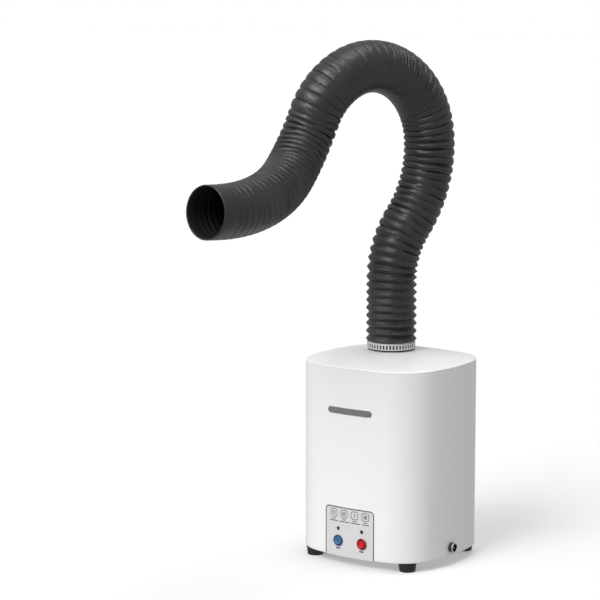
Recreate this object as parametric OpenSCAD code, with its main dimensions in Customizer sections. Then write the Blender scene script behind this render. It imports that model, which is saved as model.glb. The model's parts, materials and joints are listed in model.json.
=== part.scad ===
// Solder fume extractor: a rounded-square column with stacked filters over a blower,
// and a self-supporting corrugated duct on its cover.
// Millimetres. +Z is up, the front is -Y. The origin is on the floor, midway between the feet.

/* [Housing] */
// Width of the housing
body_w = 248; // [240:1:256]
// Depth of the housing
body_d = 232; // [226:1:240]
// Height of the column above its feet
body_h = 300; // [298:1:330]
// Radius of the upright corners
corner_r = 69; // [60:1:76]
// How far each side bulges outwards
bulge = 4.6; // [1:0.1:6]
// Wall of the housing
wall = 3; // [2.5:0.5:4]
// Height of the rubber feet
foot_h = 15; // [12:1:20]
// Height of the cover's upright skirt
skirt_h = 3; // [3:1:8]
// Rise of the cover's dome above the skirt
dome_h = 13; // [10:1:13]

/* [Control panel] */
// Width of the panel
panel_w = 91.5; // [86:0.5:94]
// Height of the panel
panel_h = 78.5; // [76:0.5:84]
// How far the panel's middle lies to the right of the housing's middle
panel_x = 1; // [-2:0.5:4]
// Distance between the two push buttons
button_pitch = 44; // [40:1:50]
// Travel of a push button
button_travel = 1.2; // [0.8:0.1:1.5]

/* [Filters] */
// Height of a filter case below its lid flange
case_h = 60; // [54:1:60]
// Height of a filter lid's flange
flange_h = 18; // [14:1:18]
// Thickness of the pre-filter pad
pad_h = 12; // [8:1:12]
// Height of a strap handle's arch
strap_h = 38; // [30:1:38]

/* [Duct] */
// Outer radius of the duct
duct_r = 40; // [39.5:0.5:42]
// Wall of the duct
duct_wall = 2; // [1.5:0.5:2.5]
// Length of the smooth cuff at the mouth
cuff_len = 14; // [10:1:20]

/* [Hidden] */
$fn = 64;
gap = 0.3;

// Heights
floor_z = foot_h;
base_top = floor_z + wall;
joint_z = foot_h + body_h - skirt_h;
seam = 1;
rim_z = foot_h + body_h;
deck_top = 134;
deck_t = 3;
lower_z = deck_top + gap;
filter_h = case_h + flange_h;
upper_z = lower_z + filter_h + gap;
pad_z = upper_z + filter_h + 5.6;

// Outline of the column
core_x = body_w / 2 - corner_r - bulge;
core_y = body_d / 2 - corner_r - bulge;
side_steps = 8;
corner_steps = 11;

// Blower
fan_x = -24;
fan_y = 0;
scroll_floor = 36;
scroll_wall = 2.5;
scroll_r = 76;
scroll_growth = 16;
outlet_x = 38;
outlet_y = 88;
impeller_r = 72;
hub_r = 30;
blade_n = 28;
impeller_z = 52;
blade_h = 68;
eye_r = 52;
shaft_r = 3;
shaft_fit = 0.05;
bearing_r = 8;
bearing_w = 6;

// Grille window at the back
window_x = 104;
window_z = 78;
window_mid = 78;

// Feet
foot_x = 88;
foot_y = 81;
foot_screw_r = 2;

// Panel details: places across the front and heights above the floor
controls_x = panel_x + 2.2;
icons_x = panel_x + 1;
panel_t = 1.2;
panel_corner = 7;
button_z = 39.5;
led_z = 59;
icon_z = 83;
icon_pitch = 19.8;
icon_size = 12.5;
bezel_r = 8.4;
cap_r = 6.1;
led_r = 2.4;
badge_x = 1;
badge_z = 246;

// DC inlet on the right side
jack_y = -13;
jack_z = 29;
jack_r = 7.7;
jack_out = 7.4;

// Cover, collar and clamp
collar_r = 36;
collar_wall = 2;
collar_top = 346;
lip_h = 7;
clamp_z = 332;
clamp_h = 9;
clamp_r = 37.4;
clamp_t = 0.8;
duct_z = 340;
neck_z = 329.5;

// Duct route: each section's length, bend and roll, from the collar to the mouth
route = [
    [100, 0, 0],
    [95, 35, 62],
    [145, 41, 182],
    [185, 87, 12],
    [125, 74, -15],
    [125, 68, 142],
    [206, 34, 69]
];
sections = len(route);
ball_r = duct_r + 6;

// Filter details
lid_inset = 6;
case_inset = 11;
card = 2;
slot_pitch = 16.5;
slot_len = 70;
slot_w = 4.6;
strap_x = 92;
strap_half = 40;
strap_band = 5;
strap_t = 1.2;
under_recess = 7;

// ---- Outline of the column, moved outwards by grow ----

function turned(a, p) = [p.x * cos(a) - p.y * sin(a), p.x * sin(a) + p.y * cos(a)];
function side_run(i) = i % 2 == 0 ? 2 * core_x : 2 * core_y;
function side_out(i) = i % 2 == 0 ? core_y : core_x;
function tilt(i, t) = atan(4 * bulge * (1 - 2 * t) / side_run(i));

// One side, seen as if it faced +X, and the corner that follows it
function side_points(i, r) = [
    for (k = [0:side_steps])
        let (t = k / side_steps, a = -tilt(i, t))
        [side_out(i) + 4 * bulge * t * (1 - t) + r * cos(a), side_run(i) * (t - 0.5) + r * sin(a)]
];
function corner_points(i, r) = [
    for (k = [1:corner_steps - 1])
        let (from = tilt(i, 0), to = 90 - tilt(i + 1, 0), a = from + (to - from) * k / corner_steps)
        [side_out(i) + r * cos(a), side_run(i) / 2 + r * sin(a)]
];
function outline(grow) = [
    for (i = [0:3], p = concat(side_points(i, corner_r + grow), corner_points(i, corner_r + grow)))
        turned(90 * i - 90, p)
];

// A slab, and a wall, that follow the outline
module slab(z, h, grow) {
    translate([0, 0, z]) linear_extrude(h) polygon(outline(grow));
}
module ring_wall(z, h, outer, inner) {
    translate([0, 0, z]) linear_extrude(h) difference() {
        polygon(outline(outer));
        polygon(outline(inner));
    }
}

// How far the front lies from the middle at a distance x to the right
function front_y(x) = side_out(0) + corner_r + bulge * (1 - pow(x / core_x, 2));

module tube(h, outer, inner) {
    linear_extrude(h) difference() {
        circle(outer);
        circle(inner);
    }
}

// Children on a rectangle of four places
module at_corners(x, y) {
    for (i = [-1, 1], j = [-1, 1]) translate([i * x, j * y, 0]) children();
}

// ---- Housing ----

// The panel's shape, standing in the XZ plane and reaching through the front wall
module panel_prism(extra) {
    w = panel_w + 2 * extra;
    h = panel_h + extra;
    r = panel_corner + extra;
    translate([panel_x, -body_d / 2 + 12, floor_z]) rotate([90, 0, 0]) linear_extrude(30) union() {
        translate([-w / 2, 0]) square([w, h - r]);
        translate([-w / 2 + r, 0]) square([w - 2 * r, h]);
        for (i = [-1, 1]) translate([i * (w / 2 - r), h - r]) circle(r);
    }
}

// Children at a place on the front, with +Z pointing out of it
module on_front(x, z) {
    translate([x, -front_y(x), z]) rotate([90, 0, 0]) children();
}

module front_holes() {
    for (i = [-1, 1]) {
        on_front(controls_x + i * button_pitch / 2, button_z)
            translate([0, 0, -20]) cylinder(h = 30, r = bezel_r + 0.1);
        on_front(controls_x + i * button_pitch / 2, led_z)
            translate([0, 0, -20]) cylinder(h = 30, r = led_r + 0.1);
    }
}

module window_box(extra, y, depth) {
    translate([-window_x / 2 - extra, y, window_mid - window_z / 2 - extra])
        cube([window_x + 2 * extra, depth, window_z + 2 * extra]);
}

module jack_hole(r) {
    translate([body_w / 2 - 20, jack_y, jack_z]) rotate([0, 90, 0]) cylinder(h = 30, r = r);
}

module housing_shell() {
    color("white") difference() {
        ring_wall(floor_z, joint_z - seam - floor_z, 0, -wall);
        intersection() {
            ring_wall(floor_z - 1, body_h, 5, -panel_t);
            panel_prism(gap);
        }
        front_holes();
        window_box(gap, body_d / 2 - 14, 20);
        jack_hole(6.2);
    }
}

module base_plate() {
    color("whitesmoke") difference() {
        union() {
            slab(floor_z, wall, -wall - gap);
            for (a = [45:90:315]) translate([fan_x, fan_y, base_top]) rotate(a) translate([scroll_r - 4, 0])
                cylinder(h = scroll_floor - base_top, r = 5);
            at_corners(foot_x, foot_y) translate([0, 0, base_top]) cylinder(h = 8, r = 5);
        }
        at_corners(foot_x, foot_y) translate([0, 0, floor_z - 1]) cylinder(h = 9, r = foot_screw_r);
    }
}

module rubber_feet() {
    color("black") at_corners(foot_x, foot_y) difference() {
        cylinder(h = foot_h, r1 = 11.3, r2 = 13.5);
        translate([0, 0, -1]) cylinder(h = 6, r = 5);
        cylinder(h = foot_h + 1, r = foot_screw_r);
    }
}

module foot_screws() {
    color("silver") at_corners(foot_x, foot_y) {
        translate([0, 0, 2.4]) cylinder(h = 2.6, r = 4);
        translate([0, 0, 5]) cylinder(h = 17, r = foot_screw_r);
    }
}

module exhaust_grille() {
    color("lightgray") difference() {
        union() {
            intersection() {
                ring_wall(floor_z, joint_z - floor_z, 0, -wall);
                window_box(0, body_d / 2 - 14, 20);
            }
            intersection() {
                ring_wall(floor_z, joint_z - floor_z, -wall, -wall - 2);
                window_box(5, body_d / 2 - 18, 20);
            }
        }
        for (i = [-1, 1], k = [-4:4])
            translate([i * 25 - 22, body_d / 2 - 20, window_mid + 8 * k - 2]) cube([44, 30, 4]);
    }
}

// ---- Blower ----

// Inside of the scroll: it widens as it turns, then opens towards the back
function scroll_at(a) = scroll_r + scroll_growth * (a - 60) / 360;
module scroll_shape(extra, reach) {
    polygon([for (a = [60:10:360]) (scroll_at(a) + extra) * [cos(a), sin(a)]]);
    translate([outlet_x - extra, 0]) square([scroll_at(360) - outlet_x + 2 * extra, reach]);
}

module fan_deck() {
    color("gainsboro") difference() {
        slab(deck_top - deck_t, deck_t, -wall - gap);
        translate([fan_x, fan_y, 0]) cylinder(h = deck_top + 1, r = eye_r);
    }
}

module inlet_guard() {
    color("dimgray") translate([fan_x, fan_y, deck_top]) {
        for (r = [10, 22, 34, 46]) tube(1.6, r + 0.8, r - 0.8);
        tube(1.6, eye_r + 6, eye_r - 1);
        linear_extrude(1.6) for (a = [0, 120, 240]) rotate(a) translate([0, -1]) square([eye_r, 2]);
    }
}

module blower_scroll() {
    color("dimgray") translate([fan_x, fan_y, scroll_floor + deck_t])
        linear_extrude(deck_top - 2 * deck_t - scroll_floor) difference() {
            scroll_shape(scroll_wall, outlet_y);
            scroll_shape(0, outlet_y + 5);
        }
}

module scroll_floor_plate() {
    color("gray") translate([fan_x, fan_y, scroll_floor]) difference() {
        union() {
            linear_extrude(deck_t) scroll_shape(scroll_wall, outlet_y);
            translate([0, 0, -8]) cylinder(h = 30, r = bearing_r + 3);
        }
        translate([0, 0, -9]) cylinder(h = 32, r = shaft_r + 1.5);
        for (z = [-9, 22 - bearing_w]) translate([0, 0, z]) cylinder(h = bearing_w + 1, r = bearing_r);
    }
}

module motor_bearings() {
    color("silver") for (z = [scroll_floor - 8, scroll_floor + 22 - bearing_w])
        translate([fan_x, fan_y, z]) tube(bearing_w, bearing_r, shaft_r + shaft_fit);
}

// Twelve wound poles around the bearing tube
module motor_stator() {
    color("peru") translate([fan_x, fan_y, scroll_floor + deck_t + 2]) linear_extrude(12) difference() {
        union() {
            circle(bearing_r + 8);
            for (a = [0:30:330]) rotate(a) translate([0, -2.4]) square([24.5, 4.8]);
        }
        circle(bearing_r + 3);
    }
}

module motor_shaft() {
    color("silver") translate([fan_x, fan_y, scroll_floor - 9]) cylinder(h = 36, r = shaft_r);
}

// Cup of magnets that turns around the stator
module rotor_cup() {
    color("slategray") translate([fan_x, fan_y, 0]) difference() {
        translate([0, 0, scroll_floor + deck_t + 3]) cylinder(h = 22, r = hub_r - 0.5);
        translate([0, 0, scroll_floor + deck_t + 2]) cylinder(h = 20.5, r = 26);
        cylinder(h = 80, r = shaft_r);
    }
}

module impeller() {
    color("black") translate([fan_x, fan_y, 0]) {
        translate([0, 0, impeller_z]) tube(3, impeller_r, hub_r - 0.5);
        translate([0, 0, impeller_z + 3]) linear_extrude(blade_h)
            for (a = [0:360 / blade_n:359]) rotate(a) translate([impeller_r - 17, 0])
                rotate(-35) translate([0, -0.6]) square([17, 1.2]);
        translate([0, 0, impeller_z + 3 + blade_h]) tube(3, impeller_r, impeller_r - 17);
        translate([0, 0, impeller_z]) tube(12, hub_r + 2, hub_r - 0.5);
    }
}

// ---- Control panel ----

module control_panel() {
    color("lightgray") difference() {
        intersection() {
            ring_wall(floor_z, body_h, 0, -panel_t);
            panel_prism(0);
        }
        front_holes();
    }
}

// Children's flat shape, drawn in the XZ plane, as a skin t thick on the front
module front_skin(t) {
    intersection() {
        ring_wall(floor_z, body_h, t, 0);
        translate([0, -body_d / 2 + 12, 0]) rotate([90, 0, 0]) linear_extrude(30) children();
    }
}

module panel_icons() {
    color("slategray") front_skin(0.3) for (k = [-1.5:1:1.5]) translate([icons_x + k * icon_pitch, icon_z])
        difference() {
            square(icon_size, center = true);
            square(icon_size - 1.4, center = true);
        }
}

module badge_plate() {
    color("gray") front_skin(0.5) translate([badge_x, badge_z]) {
        square([72, 10], center = true);
        for (i = [-1, 1]) translate([i * 36, 0]) circle(5);
    }
}

module led_lenses() {
    color("black") for (i = [-1, 1]) on_front(controls_x + i * button_pitch / 2, led_z)
        translate([0, 0, -8]) cylinder(h = 8.4, r = led_r);
}

module button_bezels() {
    for (i = [-1, 1]) color(i < 0 ? "steelblue" : "darkred")
        on_front(controls_x + i * button_pitch / 2, button_z)
            translate([0, 0, -4]) tube(5.6, bezel_r, cap_r + gap);
}

// A push button: its cap, and a stem that just enters the switch at the end of its travel
module push_button(x) {
    on_front(x, button_z) {
        translate([0, 0, -6]) cylinder(h = 8, r = cap_r);
        translate([0, 0, button_travel - 15.2]) cylinder(h = 9.3 - button_travel, r = 2);
    }
}
module mode_button() {
    color("cornflowerblue") push_button(controls_x - button_pitch / 2);
}
module power_button() {
    color("red") push_button(controls_x + button_pitch / 2);
}

// A spring, as the sleeve that its coil fills, between the cap and the switch
module button_spring(x) {
    on_front(x, button_z) translate([0, 0, -14.5]) tube(8.2, 3.6, 2.6);
}
module mode_spring() {
    color("silver") button_spring(controls_x - button_pitch / 2);
}
module power_spring() {
    color("silver") button_spring(controls_x + button_pitch / 2);
}

module switch_bodies() {
    color("black") for (i = [-1, 1]) on_front(controls_x + i * button_pitch / 2, button_z)
        translate([-6, -6, -20]) difference() {
            cube([12, 12, 5]);
            translate([6, 6, 3]) cylinder(h = 3, r = 2.4);
        }
}

board_y = -front_y(controls_x + button_pitch / 2) + 20;
module control_board() {
    color("darkgreen") translate([controls_x - 36, board_y, base_top + 4]) cube([72, 1.6, 62]);
}
module board_standoffs() {
    color("silver") for (i = [-1, 1], j = [0, 1])
        translate([controls_x + 32 * i, board_y, base_top + 8 + 52 * j]) rotate([90, 0, 0])
            cylinder(h = 15, r = 2.5);
}

// ---- DC inlet ----

module on_right(z_out) {
    translate([body_w / 2 + z_out, jack_y, jack_z]) rotate([0, 90, 0]) children();
}
module dc_socket_body() {
    color("black") on_right(0) difference() {
        union() {
            translate([0, 0, -16]) cylinder(h = 22, r = 6);
            cylinder(h = 5.2, r = jack_r);
        }
        translate([0, 0, -4]) cylinder(h = 20, r = 2.75);
        translate([0, 0, 4.4]) cylinder(h = 10, r = 4.6);
    }
}
module dc_socket_ring() {
    color("silver") on_right(jack_out - 1.4) tube(1.4, 6.5, 4.6);
}
module dc_socket_pin() {
    color("silver") on_right(-4) cylinder(h = 9.5, r = 1);
}

// A lead of straight runs between points inside the housing
module lead(points, r) {
    for (k = [0:len(points) - 2]) {
        step = points[k + 1] - points[k];
        translate(points[k]) rotate([0, acos(step.z / norm(step)), atan2(step.y, step.x)])
            cylinder(h = norm(step), r = r);
    }
    for (p = points) translate(p) sphere(r + 0.1);
}
module dc_lead() {
    color("firebrick") lead([[106, jack_y, jack_z], [98, -60, 26], [70, -86, 26], [36, -91.2, 30]], 1.5);
}
module motor_lead() {
    color("gold") lead([[fan_x, -91.2, 30], [fan_x, -80, 25], [fan_x, -22, 25], [fan_x, -22, scroll_floor - 2]],
        1.5);
}

// ---- Cover ----

module cover_gasket() {
    color("black") ring_wall(joint_z - seam + gap, seam - gap, -0.8, -wall);
}

module dome(grow, z0, rise) {
    hull() {
        slab(z0, skirt_h - 2.5, grow);
        slab(z0, skirt_h - 0.8, grow - 0.7);
        slab(z0, skirt_h, grow - 2.6);
        slab(z0, skirt_h + 0.45 * rise, grow - 34);
        translate([0, 0, z0]) cylinder(h = skirt_h + rise, r = collar_r + 4);
    }
}

module top_cover() {
    color("white") difference() {
        union() {
            dome(0, joint_z, dome_h);
            translate([0, 0, rim_z]) cylinder(h = collar_top - rim_z, r = collar_r);
        }
        dome(-wall, joint_z - 1, dome_h - 2);
        translate([0, 0, joint_z - 2]) cylinder(h = 60, r = collar_r - collar_wall);
    }
    color("white") ring_wall(joint_z - lip_h, lip_h + 1.8, -wall - gap, -wall - gap - 2);
    color("white") ring_wall(joint_z + 0.6, 0.9, -wall + 1, -wall - 1);
}

module clamp_band() {
    color("silver") difference() {
        translate([0, 0, clamp_z]) tube(clamp_h, clamp_r + clamp_t, clamp_r);
        for (a = [0:8:328]) rotate(a + 106) translate([clamp_r - 2, -1, clamp_z + 1.8])
            cube([6, 2, clamp_h - 3.6]);
    }
}
module clamp_housing() {
    color("silver") rotate(90) difference() {
        translate([clamp_r + clamp_t + 0.2, -8, clamp_z - 0.5]) cube([8, 16, clamp_h + 1]);
        translate([clamp_r + clamp_t + 4.4, -9, clamp_z + clamp_h / 2]) rotate([-90, 0, 0])
            cylinder(h = 18, r = 3.2);
    }
}
module clamp_screw() {
    color("gray") rotate(90) translate([clamp_r + clamp_t + 4.4, -9, clamp_z + clamp_h / 2])
        rotate([-90, 0, 0]) {
            cylinder(h = 20, r = 3);
            translate([0, 0, 18]) cylinder(h = 4, r = 4.2);
        }
}

// ---- Filters ----

module prefilter_pad() {
    color("whitesmoke") slab(pad_z, pad_h, -lid_inset - 2);
}

module filter_case(z) {
    color("white") difference() {
        slab(z, filter_h - card, -case_inset);
        slab(z + under_recess + card, filter_h, -case_inset - card);
        slab(z - 1, under_recess + 1, -case_inset - 5);
        for (i = [-1, 1], k = [-4.5:1:4.5])
            translate([i * 40.5 - slot_len / 2, k * slot_pitch - slot_w / 2, z]) cube([slot_len, slot_w, 12]);
    }
}

module filter_media(z) {
    color("ivory") slab(z + under_recess + card, filter_h - under_recess - 2 * card - 1, -case_inset - card - gap);
}

module filter_lid(z) {
    color("white") difference() {
        slab(z + case_h, flange_h, -lid_inset);
        slab(z + case_h - 1, flange_h - card + 1, -lid_inset - card);
        for (i = [-1, 1], k = [-4.5:1:4.5])
            translate([i * 40.5 - slot_len / 2, k * slot_pitch - slot_w / 2, z + filter_h - 9])
                cube([slot_len, slot_w, 12]);
    }
}

// A strap handle, folded flat towards the middle of the lid
function strap_curve(extra) = [
    for (a = [0:10:180]) [(strap_h + extra) * sin(a), (strap_half + extra) * cos(a)]
];
module strap(z, side) {
    color("black") translate([side * strap_x, 0, z + filter_h + 0.2]) mirror([side < 0 ? 0 : 1, 0, 0])
        linear_extrude(strap_band) difference() {
            polygon(strap_curve(0));
            polygon(concat([[-1, strap_half - strap_t]], strap_curve(-strap_t), [[-1, strap_t - strap_half]]));
        }
}

module upper_filter_case() { filter_case(upper_z); }
module upper_filter_media() { filter_media(upper_z); }
module upper_filter_lid() { filter_lid(upper_z); }
module upper_strap_left() { strap(upper_z, -1); }
module upper_strap_right() { strap(upper_z, 1); }
module lower_filter_case() { filter_case(lower_z); }
module lower_filter_media() { filter_media(lower_z); }
module lower_filter_lid() { filter_lid(lower_z); }
module lower_strap_left() { strap(lower_z, -1); }
module lower_strap_right() { strap(lower_z, 1); }

// ---- Duct ----

function bend_r(i) = route[i][0] / (route[i][1] * PI / 180);

// Children from the start of a section to its end
module past(i) {
    if (route[i][1] == 0) {
        translate([0, 0, route[i][0]]) children();
    } else {
        b = route[i][1];
        translate([bend_r(i) * (1 - cos(b)), 0, bend_r(i) * sin(b)]) rotate([0, b, 0]) children();
    }
}

// Children at the start of section i, or past the last one: +Z along the duct, +X towards its bend
module at_section(i) {
    roll = i < sections ? route[i][2] : 0;
    if (i == 0) {
        translate([0, 0, duct_z]) rotate(roll) children();
    } else {
        at_section(i - 1) past(i - 1) rotate(roll) children();
    }
}

// The wall of the hose, thinned on both faces
module duct_ring(thinned) {
    difference() {
        circle(duct_r - thinned);
        circle(duct_r - duct_wall + thinned);
    }
}

module arc_tube(i, thinned) {
    if (route[i][1] == 0) {
        linear_extrude(route[i][0]) duct_ring(thinned);
    } else {
        translate([bend_r(i), 0, 0]) rotate([90, 0, 180])
            rotate_extrude(angle = route[i][1]) translate([bend_r(i), 0]) duct_ring(thinned);
    }
}

// One section: a ball-shaped cut at its end lets the next one bend inside it
module duct_section(i) {
    color("#2b2b2d") union() {
        if (i == 0) {
            translate([0, 0, neck_z]) tube(duct_z + 4 - neck_z, clamp_r - gap, collar_r + gap);
            translate([0, 0, duct_z + 3]) tube(2, duct_r, collar_r + gap);
            difference() {
                translate([0, 0, duct_z + 4]) tube(route[0][0] - 4, duct_r, duct_r - duct_wall);
                at_section(1) sphere(ball_r);
            }
        } else {
            intersection() {
                at_section(i - 1) arc_tube(i - 1, gap / 2);
                at_section(i) sphere(ball_r - gap);
            }
            at_section(i) translate([0, 0, -1]) tube(2, duct_r - gap, duct_r - duct_wall + gap);
            difference() {
                at_section(i) arc_tube(i, 0);
                if (i < sections - 1) at_section(i + 1) sphere(ball_r);
            }
        }
    }
}
module duct_section_1() { duct_section(0); }
module duct_section_2() { duct_section(1); }
module duct_section_3() { duct_section(2); }
module duct_section_4() { duct_section(3); }
module duct_section_5() { duct_section(4); }
module duct_section_6() { duct_section(5); }
module duct_section_7() { duct_section(6); }

module duct_mouth_cuff() {
    color("#2b2b2d") at_section(sections) tube(cuff_len, duct_r - 0.3, duct_r - 2.5);
}

housing_shell();
base_plate();
rubber_feet();
foot_screws();
exhaust_grille();
fan_deck();
inlet_guard();
blower_scroll();
scroll_floor_plate();
motor_bearings();
motor_stator();
impeller();
rotor_cup();
motor_shaft();
control_panel();
panel_icons();
badge_plate();
led_lenses();
button_bezels();
mode_button();
power_button();
mode_spring();
power_spring();
switch_bodies();
control_board();
board_standoffs();
dc_socket_body();
dc_socket_ring();
dc_socket_pin();
dc_lead();
motor_lead();
cover_gasket();
top_cover();
clamp_band();
clamp_housing();
clamp_screw();
prefilter_pad();
upper_filter_case();
upper_filter_media();
upper_filter_lid();
upper_strap_left();
upper_strap_right();
lower_filter_case();
lower_filter_media();
lower_filter_lid();
lower_strap_left();
lower_strap_right();
duct_section_1();
duct_section_2();
duct_section_3();
duct_section_4();
duct_section_5();
duct_section_6();
duct_section_7();
duct_mouth_cuff();
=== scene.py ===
"""Looks of the solder fume extractor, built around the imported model.

Blender's units are metres. Shapes are given in millimetres, and scaled when their mesh is made.
X points to the object's right, Y to its back and Z up.
"""
import math
import json

import bpy
import bmesh
import numpy as np
from mathutils import Matrix, Vector, noise


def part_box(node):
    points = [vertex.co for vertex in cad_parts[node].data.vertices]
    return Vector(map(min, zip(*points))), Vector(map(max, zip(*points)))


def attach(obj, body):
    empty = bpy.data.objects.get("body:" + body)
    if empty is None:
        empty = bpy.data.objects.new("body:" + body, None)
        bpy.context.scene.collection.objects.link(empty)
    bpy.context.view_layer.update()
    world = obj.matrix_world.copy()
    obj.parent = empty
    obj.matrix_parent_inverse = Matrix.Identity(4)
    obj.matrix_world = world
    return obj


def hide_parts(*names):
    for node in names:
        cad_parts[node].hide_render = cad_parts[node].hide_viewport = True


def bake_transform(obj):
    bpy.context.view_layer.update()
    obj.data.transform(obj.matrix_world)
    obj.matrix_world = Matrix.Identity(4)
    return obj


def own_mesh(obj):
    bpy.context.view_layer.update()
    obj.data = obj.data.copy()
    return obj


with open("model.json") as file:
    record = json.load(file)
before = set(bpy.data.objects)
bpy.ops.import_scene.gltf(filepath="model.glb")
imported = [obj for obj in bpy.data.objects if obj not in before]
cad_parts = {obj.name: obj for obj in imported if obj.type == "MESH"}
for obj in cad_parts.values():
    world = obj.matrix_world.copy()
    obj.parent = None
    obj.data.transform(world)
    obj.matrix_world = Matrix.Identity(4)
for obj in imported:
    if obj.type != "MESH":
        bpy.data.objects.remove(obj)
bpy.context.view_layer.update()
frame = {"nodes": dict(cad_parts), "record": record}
NODES = frame["nodes"]
SLOTS = {part["node"]: part["material_slot"] for part in frame["record"]["subparts"]}
MM = 0.001

# Camera: degrees, then metres, then the lens in millimetres
CAMERA_AZIMUTH, CAMERA_TURN, CAMERA_PITCH = 34.25, 2.29, 8.51
CAMERA_DISTANCE, CAMERA_HEIGHT = 3.6, 0.9449
LENS, SENSOR, FAR_CLIP = 138.7, 36, 400

# Studio: the floor's and the backdrop's half widths and the ceiling's height, in metres
FLOOR_HALF, BACKDROP_HALF, CEILING = 21, 20, 20
FLOOR_ALBEDO, FLOOR_GLOW = 0.57, 0.25
WORLD_STRENGTH = 0.48

# Shading: the degrees past which an edge is a crease
CREASE = 35

# Housing, as in the CAD model
BODY_W, BODY_D = 248, 232
CORNER_R = 69
BULGE = 4.6         # how far the middle of a side stands out past its ends
CORE = (BODY_W / 2 - CORNER_R - BULGE, BODY_D / 2 - CORNER_R - BULGE)
WALL = 3
FLOOR_Z = 15        # the housing's underside, on its feet
HOUSING_TOP = 311.6
FOOT_X, FOOT_Y = 88, 81
WINDOW_W, WINDOW_H, WINDOW_Z = 104.6, 78.6, 78      # opening for the exhaust grille
INLET_Y, INLET_Z = -13, 29

# Cover
COVER_Z = 311.75    # its lower edge, a hairline above the housing
RIM_Z = 315         # where its dome starts
DOME_H = 13
DOME_EYE_R = 40     # where the dome meets the collar
COLLAR_R, BORE_R, COLLAR_TOP = 36, 34, 346

# Front panel
PANEL_X, PANEL_W, PANEL_H, PANEL_R, PANEL_T = 1, 91.5, 78.5, 7, 1.2
CONTROLS_X, ICONS_X, BUTTON_PITCH = 3.2, 2, 44
BUTTON_Z, LED_Z, ICON_Z, LABEL_Z = 39.5, 59, 83, 27.4
UPPER_CAPTION_Z, LOWER_CAPTION_Z = 73.8, 70.6
LOWER_CAPTIONS = ((-28, 17), (-7, 19), (14, 17), (32.5, 12))    # each line's middle and width
ICON_PITCH, ICON_SIZE = 19.8, 13.2
BADGE_X, BADGE_Z, BADGE_W, BADGE_H = 1, 246, 80.4, 8.4
PRINT_SINK = 0.3    # how far a printed line reaches into the surface
PRINT_STRETCH = 5   # the longest straight stretch of a line on the bulging front

# Clamp
CLAMP_Z, CLAMP_H, CLAMP_R, CLAMP_T = 332, 9, 37.4, 0.8
CLAMP_SLOTS, FIRST_SLOT, SLOT_TURN = 41, 110, 8     # how many, and their places in degrees

# Filters
LOWER_Z, UPPER_Z, PAD_Z = 134.3, 212.6, 296.2
CASE_H, FLANGE_H, PAD_H = 60, 18, 12
LID_IN, CASE_IN, PAD_IN, CARD = -6, -11, -8, 2      # how far inside the housing's plan

# The hose: each section's length, bend and roll, as in the CAD model
ROUTE = [(100, 0, 0), (95, 35, 62), (145, 41, 182), (185, 87, 12), (125, 74, -15),
         (125, 68, 142), (206, 34, 69)]
DUCT_Z = 340        # where the first section starts
NECK_Z = 329.5      # where the hose's end lies on the collar
CUFF_LEN = 14
RIB_PITCH, FIRST_CREST = 12.25, 6.0
HOSE_STEPS, STEPS_PER_RIB = 112, 14
HOSE_SKIN = 1.1
BLEND_REACH = 26    # how far each side of a joint two points on the hose's centre line are taken

# Rows: distance along the hose, then the ribs' depth on the arch's outer side, on its faces and
# on its inner side. Pleats on the riser, smooth inside the bends, scallops down the far limb and
# shallow folds near the mouth.
RIBS = [(-12, 0, 0, 0), (0, 0, 0, 0), (1, 4.6, 4.6, 4.6), (110, 4.8, 4.6, 4.8),
        (150, 3.6, 2.4, 4.4), (240, 3.6, 1.9, 4.0), (300, 4.0, 3.0, 3.6), (340, 4.0, 3.2, 3.4),
        (370, 3.2, 1.8, 2.2), (400, 2.8, 0.9, 0.5), (440, 2.2, 0.4, 0.15), (490, 1.4, 0.3, 0.1),
        (522, 1.3, 0.4, 0.1), (545, 2.2, 1.0, 0.2), (580, 3.2, 1.6, 0.4), (620, 3.6, 1.5, 1.9),
        (660, 4.2, 1.1, 3.6), (730, 4.2, 1.1, 4.4), (760, 1.8, 1.3, 4.4), (785, 0.9, 1.3, 3.6),
        (820, 0.8, 1.4, 2.0), (900, 0.9, 1.5, 1.0), (962, 0.8, 1.4, 0.7), (976, 0, 0, 0)]
# Distance and the hose's radius over its crests
RADIUS = [(-12, 37.1), (0.5, 37.1), (3.5, 40.0), (700, 40.2), (900, 40.7), (965, 40.3),
          (985, 39.7)]
# Distance and the power that makes the crests broad, where it is low, or narrow
SCALLOPS = [(430, 0.6), (480, 0.3), (610, 0.34), (670, 0.6)]
PLEATS_END, RIDGES_START = (115, 185), (790, 850)
RIDGE_WIDTH = 0.15  # of the rib pitch
FACING = np.array((0.589, -0.795, 0.148))   # the arch's faces look this way and the opposite way

# How uneven the coated cloth is: shares of a rib's depth, then millimetres
BROAD_SHARE, CREASE_SHARE, RIDGE_SHARE = 0.3, 1.4, 1.5
DENT, DENT_LIMIT, SHOULDER, SWAY = 1.5, 0.12, 2.8, 1.7


# ---------------------------------------------------------------- camera, light and floor

def place_camera():
    """A view from the object's front right, above the hose's arch and looking slightly down."""
    azimuth = math.radians(CAMERA_AZIMUTH)
    aim, pitch = math.radians(CAMERA_AZIMUTH + CAMERA_TURN), math.radians(CAMERA_PITCH)
    data = bpy.data.cameras.new("view")
    data.sensor_width = SENSOR
    data.lens = LENS
    data.clip_end = FAR_CLIP
    camera = bpy.data.objects.new("view", data)
    camera.location = (CAMERA_DISTANCE * math.sin(azimuth), -CAMERA_DISTANCE * math.cos(azimuth),
                       CAMERA_HEIGHT)
    camera.rotation_euler = (math.pi / 2 - pitch, 0, aim)
    bpy.context.collection.objects.link(camera)
    bpy.context.scene.camera = camera


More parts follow.
